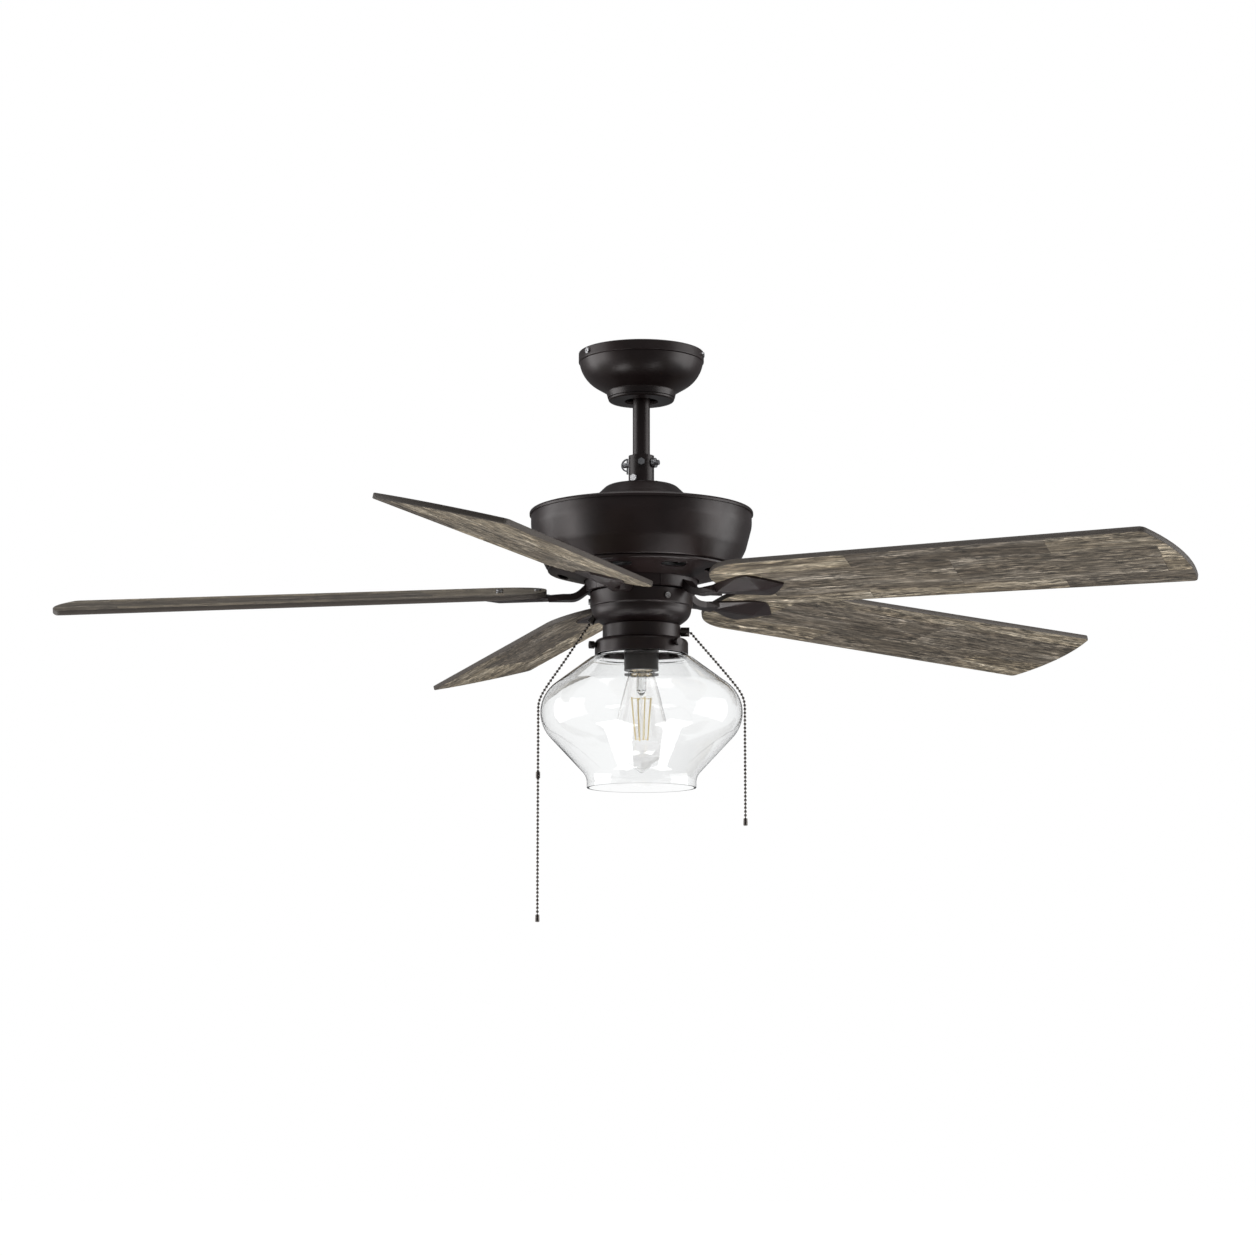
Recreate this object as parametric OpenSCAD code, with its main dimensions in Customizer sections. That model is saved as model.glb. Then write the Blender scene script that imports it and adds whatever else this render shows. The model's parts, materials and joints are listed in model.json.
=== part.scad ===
// Five-blade ceiling fan with a clear glass light, hung from a ball in its ceiling bracket.
// The ceiling is the plane z = 0, the fan hangs below it along -Z, and sizes are millimetres.

/* [Blades] */
// Span of the blades from tip to tip
blade_span = 1320; // [1100:10:1500]
// Number of blades
blade_count = 5; // [5]
// Direction of the first blade, seen from above
blade_start = 37.5; // [0:0.5:72]
// Angle of a blade about its own length
blade_pitch = 13.5; // [5:0.5:18]
// Angle by which a blade droops towards its tip
blade_droop = 2; // [0:0.5:4]
// Width of a blade at its tip
blade_tip_w = 138; // [100:1:170]
// Width of a blade where its root has rounded out
blade_root_w = 121; // [90:1:150]
// Thickness of a blade
blade_t = 5.5; // [4:0.5:8]
// Distance from the axis to a blade's root
blade_root_r = 107; // [104:1:130]
// Bulge of a blade's end past its two corners
blade_end_bulge = 13; // [4:1:25]

/* [Canopy and downrod] */
// Outer radius of the canopy at the ceiling
canopy_r = 71.5; // [60:0.5:90]
// Height of the canopy
canopy_h = 56; // [50:1:75]
// Height of the band round the canopy's top
canopy_band_h = 11; // [7:0.5:13]
// Length of downrod that shows between canopy and motor
rod_shown = 63.5; // [40:0.5:600]
// Outer radius of the downrod
rod_r = 9.8; // [8:0.1:12]
// Wall of the downrod
rod_wall = 2; // [1.5:0.1:3]
// Radius of the hanger ball
ball_r = 27; // [25:0.5:30]
// Swing of the ball in its socket, each way
swing_limit = 15; // [5:1:15]

/* [Motor] */
// Outer radius of the motor housing at its rim
housing_r = 126.8; // [110:0.2:160]
// Height of the motor housing below its rim
housing_h = 64; // [60:1:85]
// Drop of the top cover from its flat to the rim
top_drop = 31; // [26:1:45]
// Drop of the vented lower cover
lower_drop = 15; // [12:1:20]
// Wall of the sheet metal covers
sheet = 1.5; // [1:0.1:2]
// Outer radius of the spinning motor case
case_r = 82; // [74:1:90]
// Outer radius of the ring that the iron feet form
ring_r = 63.3; // [58:0.1:70]
// Height of the iron feet
ring_h = 16.5; // [14:0.5:22]
// Outer radius of the yoke on top of the motor
yoke_r = 14.5; // [13:0.1:18]
// Height of the yoke above the top cover
yoke_h = 34.5; // [30:0.5:45]
// Radius of the hollow motor shaft
shaft_r = 8; // [6:0.1:9]

/* [Switch housing and light] */
// Outer radius of the switch housing
switch_r = 58; // [54:0.5:66]
// Height of the switch housing
switch_h = 36; // [33:0.5:46]
// Outer radius of the light's neck
neck_r = 43.8; // [38:0.2:48]
// Height of the light's neck
neck_h = 16.5; // [15:0.5:22]
// Outer radius of the fitter that holds the glass
fitter_r = 52.6; // [51:0.2:60]
// Height of the fitter
fitter_h = 17; // [15:0.5:22]
// Largest radius of the glass shade
shade_r = 113.5; // [100:0.5:140]
// Height of the glass shade below the fitter
shade_h = 150; // [130:1:190]
// Radius of the glass shade's open mouth
shade_mouth_r = 61.3; // [50:0.5:80]
// Wall of the glass shade
shade_wall = 2.5; // [2:0.1:4]
// Largest radius of the bulb
bulb_r = 32.5; // [28:0.5:38]
// Length of the bulb's glass
bulb_h = 113; // [90:1:125]

/* [Pull chains] */
// Radius of a pull chain over its beads
chain_r = 1.6; // [1.2:0.1:2.2]

/* [Fasteners and fits] */
// Radius of the small machine screws
screw_r = 2; // [1.5:0.1:2.5]
// Radius of a small screw's head
screw_head_r = 3.8; // [3:0.1:5]
// Gap between pieces that are fastened to each other
seat_gap = 0.2; // [0.1:0.05:0.4]
// Gap between pieces that move past each other
moving_gap = 0.3; // [0.3:0.05:0.6]
// Radial clearance of a running fit
running_gap = 0.05; // [0.02:0.01:0.1]

/* [Hidden] */
$fn = 96;
arc_step = 9;
eps = 0.01;

// Heights, from the ceiling down
ball_z = -28;
yoke_top = -canopy_h - rod_shown;
cover_top = yoke_top - yoke_h;
rim_z = cover_top - top_drop;
housing_low = rim_z - housing_h;
lower_low = housing_low - lower_drop;
ring_top = lower_low + 4;
ring_low = ring_top - ring_h;
switch_top = ring_low - 1.5;
switch_low = switch_top - switch_h;
neck_low = switch_low - neck_h;
fitter_low = neck_low - fitter_h;
shade_low = fitter_low - shade_h;

// Canopy and hanger
band_wall = 3;
plate_r = canopy_r - band_wall - seat_gap;
plate_t = 2;
canopy_bowl_r = canopy_r - 1.1;
collar_r = canopy_r * 0.52;
cover_disc_r = collar_r + 0.4;
canopy_screw_angles = [100, 213, 347];
cover_t = 3.6;
// The hole lets the downrod swing to its limit and leaves a little more
cover_hole_r = (canopy_h + ball_z) * tan(swing_limit) + rod_r / cos(swing_limit) + 1.5;
box_screw_spacing = 88.9;
box_slot_w = 5;
box_slot_l = 12;
socket_top = ball_z - 5;
socket_low = ball_z - 15;
socket_r = ball_r + 4;
key_w = 4.4;
key_depth = 3.4;
cross_pin_z = ball_z + 13;
cross_pin_r = 3;
rod_top = ball_z + 20;
rod_low = yoke_top - 26;
clevis_z = yoke_top - 9;
clevis_r = 3;
clevis_angle = -25;
clip_wire = 1.6;
clip_r = yoke_r + 3;

// Motor
cover_flat_r = 28.4;
dome_r = cover_flat_r + 10.6;
dome_foot_r = dome_r + 15;
flange_r = cover_flat_r - 0.4;
cover_screw_r = cover_flat_r - 3.4;
flange_t = 4.5;
lip_h = 3.5;
case_top = rim_z + 7;
case_low = housing_low + 8;
case_wall = 3;
bearing_r = 17;
bearing_h = 9;
stator_r = 63.2;
stator_top = case_top - 16;
stator_low = case_low + 16;
air_gap = 0.8;
foot_t = 4;
foot_in_r = 26;
skirt_in_r = ring_r - 5;
lower_hole_r = ring_r + 1.9;
vent_count = 9;
vent_start = 254;
vent_l = 30;
vent_w = 12;
lower_screw_start = 90;

// Blades and irons
blade_plane_z = ring_top - 13.1;
tip_corner_x = blade_span / 2 - blade_end_bulge;
arm_w = 18;
arm_t = 7;
arm_top = blade_plane_z - 6.4;
arm_end_r = blade_root_r - 19;
leaf_start = blade_root_r - 3;
leaf_l = 86;
leaf_w = 55;
leaf_rim_t = 2.5;
leaf_ridge_t = 7.5;
blade_hole_r = screw_r + seat_gap;
blade_screws_at = [[117, 0], [160, -16], [160, 16]];
foot_screw_r = 48;
foot_screw_half_angle = 20;

// Switches
switch_plate_low = switch_top - 4;
fan_switch_size = [30, 26, 20];
fan_switch_in_r = 16;
capacitor_size = [22, 36, 20];
capacitor_in_r = 14;
light_switch_w = 18;
light_switch_l = 22.8;
reverse_z = switch_plate_low - 5;
reverse_slot_l = 12;
reverse_knob_w = 6;

// Light
light_bushing_z = switch_low - 7.5;
wall_top_t = 1.6;
glass_neck_r = fitter_r - 4;
nipple_r = 6;
socket_body_r = 19.4;
base_r = 13.1;
stem_tube_l = 25;
stem_l = bulb_h * 0.68;
stem_rod_r = 1.6;
filament_drop = 29;
filament_l = bulb_h * 0.42;
filament_top_r = 11.6;
filament_low_r = 7.2;
filament_start = 20;
bulb_top = fitter_low - 19.3;
bulb_neck_r = 15.6;
thumb_z = neck_low - 7.5;
thumb_angles = [75, 195, 315];
thumb_head_r = 4.3;
fitter_corner = 5;

// Pull chains: routes in the plane y = 0, as distance from the axis and height from the
// top of the switch housing. The fan's chain hangs on -X and the light's on +X.
chain_sides = 8;
chain_ring_gap = 8;
fan_chain_upper_route = [[57, -32], [84, -72.5], [111.5, -113.5], [115.5, -124], [116, -130], [116, -136]];
light_chain_upper_route = [[48, -43.5], [53.5, -43.5], [56.5, -45.5], [60, -49.8], [111.3, -112.3],
    [115.2, -122], [116, -129], [116, -136]];
fan_chain_lower_route = [[116, -136], [116, -366]];
light_chain_lower_route = [[116, -136], [116, -259]];
fan_bushing_at = [52.8, -26];
fan_bushing_tilt = 146;
bushing_r = 4.2;
bushing_inside = 9;
bushing_bore_r = chain_r + 0.5;
coupler_z = -205;
coupler_half = 3.5;
pull_l = 8;
pull_r = 2.4;

bronze = "#2c2523";
dark_steel = "#3a3a3c";
steel = "#b8bbbf";
wood = "#7b7066";
brass = "#b59a5a";
clear = [0.86, 0.92, 0.95, 0.35];

// ---- Outlines ----

function unit(v) = v / norm(v);

function flat(p) = [p[0], p[1]];

function reversed(list) = [for (i = [len(list) - 1:-1:0]) list[i]];

function turned(p, angle) = [p[0] * cos(angle) - p[1] * sin(angle), p[0] * sin(angle) + p[1] * cos(angle)];

// Points of a round corner at b, on the way from a to c
function corner(a, b, c, radius) =
    let (
        u = unit(a - b),
        v = unit(c - b),
        half = acos(u * v) / 2,
        centre = b + unit(u + v) * radius / sin(half),
        start = b + u * radius / tan(half) - centre,
        turn = (180 - 2 * half) * (cross(u, v) > 0 ? -1 : 1),
        steps = ceil(abs(turn) / arc_step)
    )
    [for (i = [0:steps]) centre + turned(start, turn * i / steps)];

// An outline whose points [x, y, radius] have their corners rounded
function rounded(path) =
    let (last = len(path) - 1)
    [for (i = [0:last])
        each (i == 0 || i == last || path[i][2] == 0)
            ? [flat(path[i])]
            : corner(flat(path[i - 1]), flat(path[i]), flat(path[i + 1]), path[i][2])];

// The widest rounding that fits at b without using up the stretch from a
function widest_round(a, b, c) = norm(a - b) * tan(acos(unit(a - b) * unit(c - b)) / 2) * 0.99;

function right_of(a, b) = let (d = unit(b - a)) [d[1], -d[0]];

// An outline moved to its right by a wall's thickness
function shifted(points, wall) =
    let (last = len(points) - 1)
    [for (i = [0:last])
        let (
            before = right_of(points[max(i - 1, 0)], points[max(i, 1)]),
            after = right_of(points[min(i, last - 1)], points[min(i + 1, last)])
        )
        points[i] + wall * (before + after) / (1 + before * after)];

// A turned shell whose outside follows path, from the top down, with its wall inside
module spun_shell(path, wall) {
    outside = rounded(path);
    rotate_extrude()
        polygon(concat(outside, reversed(shifted(outside, wall))));
}

// A tube from z = low to z = high
module tube(r, bore, low, high) {
    translate([0, 0, low])
        difference() {
            cylinder(r = r, h = high - low);
            translate([0, 0, -1])
                cylinder(r = bore, h = high - low + 2);
        }
}

// A screw along +Z with its head's seat at the origin and its shank going down
module screw(length, head_r = screw_head_r) {
    translate([0, 0, -length])
        cylinder(r = screw_r, h = length + eps);
    difference() {
        cylinder(r = head_r, h = 1.8);
        translate([-head_r * 0.55, -0.35, 1])
            cube([head_r * 1.1, 0.7, 1]);
        translate([-0.35, -head_r * 0.55, 1])
            cube([0.7, head_r * 1.1, 1]);
    }
}

// Places its children at a radius and height, with their +Z pointing away from the axis
module outward(angle, r, z) {
    rotate([0, 0, angle])
        translate([r, 0, z])
            rotate([0, 90, 0])
                children();
}

// A slot along X through everything between low and high
module slot_cut(length, width, low, high) {
    translate([-(length - width) / 2, -width / 2, low])
        cube([length - width, width, high - low]);
    for (side = [-1, 1])
        translate([side * (length - width) / 2, 0, low])
            cylinder(d = width, h = high - low);
}

// ---- Ceiling mount ----

module hanger_plate() {
    color(dark_steel)
        difference() {
            union() {
                translate([0, 0, -plate_t])
                    cylinder(r = plate_r, h = plate_t);
                tube(plate_r, plate_r - plate_t, -canopy_band_h + 1, 0);
            }
            translate([0, 0, -plate_t - 1])
                cylinder(r = 12, h = plate_t + 2);
            for (side = [-1, 1])
                translate([side * box_screw_spacing / 2, 0, 0])
                    slot_cut(box_slot_l, box_slot_w, -plate_t - 1, 1);
            for (angle = canopy_screw_angles)
                outward(angle, plate_r, -canopy_band_h / 2)
                    cylinder(r = screw_r + seat_gap, h = 10, center = true);
        }
}

module socket_leg() {
    leg_r = socket_r + 0.5;
    translate([leg_r - 3, -8, socket_low])
        cube([3, 16, -plate_t - socket_low]);
    translate([leg_r - 3, -8, -plate_t - 2.5])
        cube([16, 16, 2.5]);
}

module hanger_socket() {
    color(dark_steel) {
        difference() {
            union() {
                translate([0, 0, socket_low])
                    cylinder(r = socket_r, h = socket_top - socket_low);
                for (side = [90, 270])
                    rotate([0, 0, side])
                        socket_leg();
            }
            translate([0, 0, ball_z])
                sphere(r = ball_r + moving_gap);
            translate([0, 0, socket_low - 1])
                cylinder(r = ball_r - 6, h = 20);
        }
        translate([-key_w / 2, ball_r - 2.2, socket_low + 1])
            cube([key_w, 4, 6]);
    }
}

module canopy() {
    rim = [canopy_bowl_r, -canopy_band_h - 1];
    bend = [canopy_bowl_r - 3, -canopy_h * 0.52];
    foot = [collar_r + 2.7, -canopy_h * 0.816];
    color(bronze)
        spun_shell([
            [rim[0] - 3, rim[1], 0],
            [rim[0], rim[1], 0],
            [bend[0], bend[1], widest_round(rim, bend, foot)],
            [foot[0], foot[1], 3],
            [collar_r + 1, cover_t - canopy_h + 0.1, 0]], 1.2);
}

module canopy_band() {
    color(bronze)
        difference() {
            rotate_extrude()
                polygon(rounded([
                    [canopy_r - band_wall, 0, 0],
                    [canopy_r, 0, 1],
                    [canopy_r, -canopy_band_h, 1],
                    [canopy_r - 2, -canopy_band_h - 1, 0],
                    [canopy_r - band_wall, -canopy_band_h - 1, 0]]));
            for (angle = canopy_screw_angles)
                outward(angle, canopy_r, -canopy_band_h / 2)
                    cylinder(r = screw_r + seat_gap, h = 10, center = true);
        }
}

module canopy_cover() {
    color(bronze)
        rotate_extrude()
            polygon(rounded([
                [cover_hole_r, cover_t - canopy_h, 0],
                [cover_disc_r, cover_t - canopy_h, 0.6],
                [cover_disc_r, -canopy_h, 2.5],
                [cover_hole_r, -canopy_h, 0]]));
}

module canopy_screws() {
    color(steel)
        for (angle = canopy_screw_angles)
            outward(angle, canopy_r, -canopy_band_h / 2)
                screw(6, 3.2);
}

// ---- Hanger ball, downrod and yoke ----

// The groove that keeps the ball from turning about the downrod while it swings
module key_groove() {
    intersection() {
        translate([0, 0, ball_z])
            rotate([0, 90, 0])
                difference() {
                    cylinder(r = ball_r + 2, h = key_w + 0.8, center = true);
                    cylinder(r = ball_r - key_depth, h = key_w + 2, center = true);
                }
        translate([-20, 0, ball_z - 40])
            cube([40, 60, 80]);
    }
}

module hanger_ball() {
    color(dark_steel)
        difference() {
            intersection() {
                translate([0, 0, ball_z])
                    sphere(r = ball_r);
                translate([0, 0, ball_z - 20])
                    cylinder(r = ball_r + 1, h = 39);
            }
            translate([0, 0, ball_z - 30])
                cylinder(r = rod_r + seat_gap, h = 60);
            translate([-16.5, -cross_pin_r - seat_gap, cross_pin_z - cross_pin_r - seat_gap])
                cube([33, 2 * (cross_pin_r + seat_gap), 20]);
            key_groove();
            translate([0, 0, ball_z - 8])
                rotate([0, 90, 0])
                    cylinder(r = screw_r + 1 + seat_gap, h = 40);
        }
}

module ball_cross_pin() {
    color(steel)
        translate([-15.5, 0, cross_pin_z])
            rotate([0, 90, 0])
                cylinder(r = cross_pin_r, h = 31);
}

module downrod() {
    color(bronze)
        difference() {
            tube(rod_r, rod_r - rod_wall, rod_low, rod_top);
            translate([0, 0, cross_pin_z])
                rotate([0, 90, 0])
                    cylinder(r = cross_pin_r + seat_gap, h = 60, center = true);
            outward(clevis_angle, 0, clevis_z)
                cylinder(r = clevis_r + seat_gap, h = 60, center = true);
        }
}

module motor_yoke() {
    color(bronze)
        difference() {
            union() {
                translate([0, 0, cover_top - sheet - flange_t])
                    cylinder(r = yoke_r, h = yoke_top - cover_top + sheet + flange_t);
                translate([0, 0, cover_top - sheet - flange_t])
                    cylinder(r = flange_r, h = flange_t);
            }
            translate([0, 0, rod_low - seat_gap])
                cylinder(r = rod_r + seat_gap, h = 60);
            translate([0, 0, cover_top - 30])
                cylinder(r = shaft_r + seat_gap, h = 60);
            outward(clevis_angle, 0, clevis_z)
                cylinder(r = clevis_r + seat_gap, h = 60, center = true);
            outward(270, yoke_r, clevis_z)
                cylinder(r = screw_r + 0.5 + seat_gap, h = 12, center = true);
            outward(237, yoke_r, cover_top + 7)
                cylinder(r = screw_r + 0.5 + seat_gap, h = 12, center = true);
            for (i = [0:2])
                rotate([0, 0, 70 + 120 * i])
                    translate([cover_screw_r, 0, cover_top - 20])
                        cylinder(r = screw_r + seat_gap, h = 30);
        }
}

module clevis_pin() {
    color(steel)
        outward(clevis_angle, 0, clevis_z)
            difference() {
                union() {
                    translate([0, 0, -yoke_r - 7.5])
                        cylinder(r = clevis_r, h = 2 * yoke_r + 15);
                    translate([0, 0, yoke_r + seat_gap])
                        cylinder(r = 5.6, h = 3.5);
                }
                translate([0, 0, -clip_r])
                    rotate([0, 90, 0])
                        cylinder(d = clip_wire * 1.8, h = 20, center = true);
            }
}

// The spring clip: one leg goes through the end of the clevis pin and the other round it
module cotter_clip() {
    loop_r = clevis_r + 3;
    color(steel)
        rotate([0, 0, clevis_angle])
            translate([-clip_r, 0, clevis_z])
                rotate([90, 0, 0])
                    linear_extrude(clip_wire, center = true) {
                        difference() {
                            circle(r = loop_r + clip_wire);
                            circle(r = loop_r);
                            translate([0, -20])
                                square(40);
                        }
                        translate([-clip_wire / 2, -loop_r - clip_wire - 3])
                            square([clip_wire, 2 * loop_r + 2 * clip_wire + 3]);
                    }
}

module set_screws() {
    reach = yoke_r - rod_r - 0.6;
    color(steel) {
        translate([rod_r + 0.4, 0, ball_z - 8])
            rotate([0, 90, 0])
                cylinder(r = screw_r + 1, h = 12);
        outward(270, yoke_r, clevis_z) {
            translate([0, 0, -reach])
                cylinder(r = screw_r + 0.5, h = reach + 0.5);
            cylinder(r = 4.2, h = 3, $fn = 6);
        }
        outward(237, yoke_r, cover_top + 7) {
            translate([0, 0, -reach])
                cylinder(r = screw_r + 0.5, h = reach + 2);
            cylinder(r = 4.4, h = 3, $fn = 6);
        }
    }
}

// ---- Motor ----

module motor_shaft() {
    color(steel)
        tube(shaft_r, shaft_r - 2.5, switch_top - 9, rod_low - 1);
}

module stator_core() {
    slots = 16;
    color(dark_steel)
        difference() {
            tube(stator_r, shaft_r + 0.1, stator_low, stator_top);
            for (i = [0:slots - 1])
                rotate([0, 0, i * 360 / slots])
                    translate([stator_r - 24, -2.5, stator_low - 1])
                        cube([30, 5, stator_top - stator_low + 2]);
        }
}

module stator_windings() {
    color("#b06a3a")
        for (z = [stator_top, stator_low - 7])
            translate([0, 0, z])
                rotate_extrude()
                    polygon(rounded([[34, 0, 0], [58, 0, 0], [58, 7, 3], [34, 7, 3], [34, 0.1, 0]]));
}

module motor_bearings() {
    color(steel)
        for (low = [case_top - bearing_h, case_low])
            tube(bearing_r, shaft_r + running_gap, low, low + bearing_h);
}

module top_cover() {
    color(bronze)
        difference() {
            spun_shell([
                [yoke_r + seat_gap, cover_top, 0],
                [dome_r, cover_top, 12],
                [dome_foot_r, cover_top - top_drop * 0.47, 3],
                [housing_r, rim_z + 0.5, 2.5],
                [housing_r, rim_z - lip_h, 0]], sheet);
            for (i = [0:2])
                rotate([0, 0, 70 + 120 * i])
                    translate([cover_screw_r, 0, cover_top - 10])
                        cylinder(r = screw_r + seat_gap, h = 20);
        }
}

module motor_housing() {
    inner_r = housing_r - sheet - seat_gap;
    color(bronze)
        spun_shell([
            [inner_r - 5, rim_z - 1.6, 0],
            [inner_r, rim_z - 1.6, 2.2],
            [inner_r, rim_z - 17, 30],
            [housing_r - 8.5, housing_low + 21, 30],
            [housing_r - 19.3, housing_low, 2],
            [housing_r - 25, housing_low, 0]], sheet);
}

module lower_cover() {
    edge_r = housing_r - 20.2;
    color(bronze)
        difference() {
            spun_shell([
                [edge_r - 6, housing_low - 0.1, 0],
                [edge_r, housing_low - 0.1, 1.7],
                [edge_r - 0.8, housing_low - 4, 2],
                [lower_hole_r, lower_low, 0]], sheet);
            for (i = [0:vent_count - 1])
                rotate([0, 0, vent_start + i * 360 / vent_count])
                    translate([(edge_r + lower_hole_r) / 2 + 3, 0, 0])
                        rotate([0, 0, 90])
                            slot_cut(vent_l, vent_w, lower_low - 1, housing_low - 2);
            for (i = [0:2])
                rotate([0, 0, lower_screw_start + 120 * i])
                    translate([edge_r - 3.5, 0, housing_low - 12])
                        cylinder(r = screw_r + seat_gap, h = 20);
        }
}

// Screws of the top cover, the lower cover and the switch housing
module cover_screws() {
    color(steel) {
        for (i = [0:2])
            rotate([0, 0, 70 + 120 * i])
                translate([cover_screw_r, 0, cover_top])
                    screw(5);
        for (i = [0:2])
            rotate([0, 0, lower_screw_start + 120 * i])
                translate([housing_r - 23.7, 0, housing_low - 6])
                    rotate([180, 0, 0])
                        screw(4.8, 3.2);
        for (i = [0:2])
            outward(switch_screw_angle(i), switch_r, switch_top - 9)
                screw(5, 3.4);
    }
}

function switch_screw_angle(i) = 300 + 120 * i;

// Two turned cups that close round the stator, carried by the bearings
module rotor_case() {
    middle = (case_top + case_low) / 2;
    hub_r = bearing_r + running_gap;
    color("#55555a") {
        rotate_extrude()
            polygon([[hub_r, case_top], [case_r, case_top], [case_r, middle + 0.1],
                [case_r - case_wall, middle + 0.1], [case_r - case_wall, case_top - case_wall],
                [hub_r + 5, case_top - case_wall], [hub_r + 5, case_top - bearing_h], [hub_r, case_top - bearing_h]]);
        rotate_extrude()
            polygon([[hub_r, case_low], [case_r, case_low], [case_r, middle - 0.1],
                [case_r - case_wall, middle - 0.1], [case_r - case_wall, case_low + case_wall],
                [hub_r + 5, case_low + case_wall], [hub_r + 5, case_low + bearing_h], [hub_r, case_low + bearing_h]]);
    }
}

module rotor_ring() {
    color("#8d8f94")
        tube(case_r - case_wall - 0.1, stator_r + air_gap, stator_low + 2, stator_top - 2);
}

module flywheel() {
    color("#55555a")
        difference() {
            union() {
                tube(ring_r - 3, 14, ring_top, ring_top + 6);
                tube(42, 30, ring_top, case_low);
            }
            for (i = [0:blade_count - 1])
                rotate([0, 0, blade_angle(i)])
                    at_foot_screws()
                        translate([0, 0, -1])
                            cylinder(r = screw_r + seat_gap, h = 5.5);
        }
}

// ---- Blades and irons ----

// Places its children at the screws of the foot of an iron that points along +X
module at_foot_screws() {
    for (side = [-1, 1])
        rotate([0, 0, side * foot_screw_half_angle])
            translate([foot_screw_r, 0, ring_top])
                children();
}

function blade_angle(i) = blade_start + i * 360 / blade_count;

// Places its children on the middle plane of a blade that points along +X
module on_blade_plane() {
    translate([0, 0, blade_plane_z])
        rotate([0, blade_droop, 0])
            rotate([-blade_pitch, 0, 0])
                children();
}

function half_width(x) =
    (blade_root_w + (blade_tip_w - blade_root_w) * (x - blade_root_r) / (tip_corner_x - blade_root_r)) / 2;

// One long edge of the blade, from the middle of the root to the middle of the tip
function blade_edge() =
    let (
        round_l = 62,
        flat_w = 12,
        full = half_width(blade_root_r + round_l),
        tip_w = half_width(tip_corner_x),
        end_r = (tip_w * tip_w + blade_end_bulge * blade_end_bulge) / (2 * blade_end_bulge),
        end_angle = asin(tip_w / end_r),
        centre = blade_span / 2 - end_r
    )
    rounded(concat(
        [for (a = [0:arc_step:90])
            [blade_root_r + round_l * (1 - cos(a)), flat_w + (full - flat_w) * sin(a), 0]],
        [[tip_corner_x, tip_w, 7]],
        [for (k = [3:-1:0]) [centre + end_r * cos(end_angle * k / 4), end_r * sin(end_angle * k / 4), 0]]));

module blade_outline() {
    edge = blade_edge();
    other = [for (p = reversed(edge)) if (p[1] > eps) [p[0], -p[1]]];
    polygon(concat(edge, other));
}

module blade(i) {
    color(wood)
        rotate([0, 0, blade_angle(i)])
            on_blade_plane()
                difference() {
                    translate([0, 0, -blade_t / 2])
                        linear_extrude(blade_t)
                            blade_outline();
                    for (at = blade_screws_at)
                        translate([at[0], at[1], -10])
                            cylinder(r = blade_hole_r, h = 20);
                }
}

module arm_profile() {
    upper = rounded([[skirt_in_r + 1, ring_top - 4.5, 0], [75, arm_top, 18], [arm_end_r, arm_top, 0]]);
    lower = rounded([[skirt_in_r + 1, ring_low, 0], [73, arm_top - arm_t, 20], [arm_end_r, arm_top - arm_t, 0]]);
    polygon(concat(upper, reversed(lower)));
}

// The foot is a sector of a skirted ring, and the arm reaches down and out to the leaf
module iron_foot_and_arm() {
    sector = 360 / blade_count - 0.5;
    rotate([0, 0, -sector / 2])
        rotate_extrude(angle = sector)
            polygon([[foot_in_r, ring_top], [ring_r, ring_top], [ring_r, ring_low],
                [skirt_in_r, ring_low], [skirt_in_r, ring_top - foot_t], [foot_in_r, ring_top - foot_t]]);
    rotate([90, 0, 0])
        linear_extrude(arm_w, center = true)
            arm_profile();
}

// Half width of the leaf at a share t of its length: it swells from the arm and closes to a point
function leaf_half(t) =
    t < 0.64
        ? arm_w / 2 + (leaf_w - arm_w) / 2 * pow(sin(90 * t / 0.64), 1.3)
        : leaf_w / 2 * (1 - pow((t - 0.64) / 0.36, 1.25));

module leaf_outline() {
    steps = 14;
    one_side = [for (k = [0:steps - 1]) [leaf_l * k / steps, leaf_half(k / steps)]];
    points = concat(one_side, [[leaf_l, 0]], reversed([for (p = one_side) [p[0], -p[1]]]));
    translate([leaf_start, 0])
        polygon(points);
}

module iron_leaf() {
    underside = -blade_t / 2;
    hull() {
        translate([0, 0, underside - leaf_rim_t])
            linear_extrude(leaf_rim_t)
                leaf_outline();
        translate([leaf_start, -2, underside - leaf_ridge_t])
            cube([leaf_l * 0.66, 4, 0.5]);
    }
}

module leaf_root() {
    translate([leaf_start, -arm_w / 2, -blade_t / 2 - leaf_ridge_t])
        cube([1, arm_w, leaf_ridge_t - 0.6]);
}

module blade_iron(i) {
    color(bronze)
        rotate([0, 0, blade_angle(i)])
            difference() {
                union() {
                    iron_foot_and_arm();
                    on_blade_plane()
                        iron_leaf();
                    hull() {
                        translate([arm_end_r - 1, -arm_w / 2, arm_top - arm_t])
                            cube([1, arm_w, arm_t]);
                        on_blade_plane()
                            leaf_root();
                    }
                }
                on_blade_plane()
                    for (at = blade_screws_at)
                        translate([at[0], at[1], -blade_t / 2 - leaf_rim_t])
                            cylinder(r = blade_hole_r, h = 20);
                at_foot_screws()
                    translate([0, 0, -10])
                        cylinder(r = screw_r + seat_gap, h = 20);
            }
}

// Screws through the blades into the irons, and through the iron feet into the flywheel
module rotor_screws() {
    color(steel)
        for (i = [0:blade_count - 1])
            rotate([0, 0, blade_angle(i)]) {
                on_blade_plane()
                    for (at = blade_screws_at)
                        translate([at[0], at[1], blade_t / 2])
                            screw(blade_t + leaf_rim_t - 0.3, 4.2);
                at_foot_screws()
                    translate([0, 0, -foot_t])
                        rotate([180, 0, 0])
                            screw(foot_t + 4, 3.4);
            }
}

// ---- Switch housing ----

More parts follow.
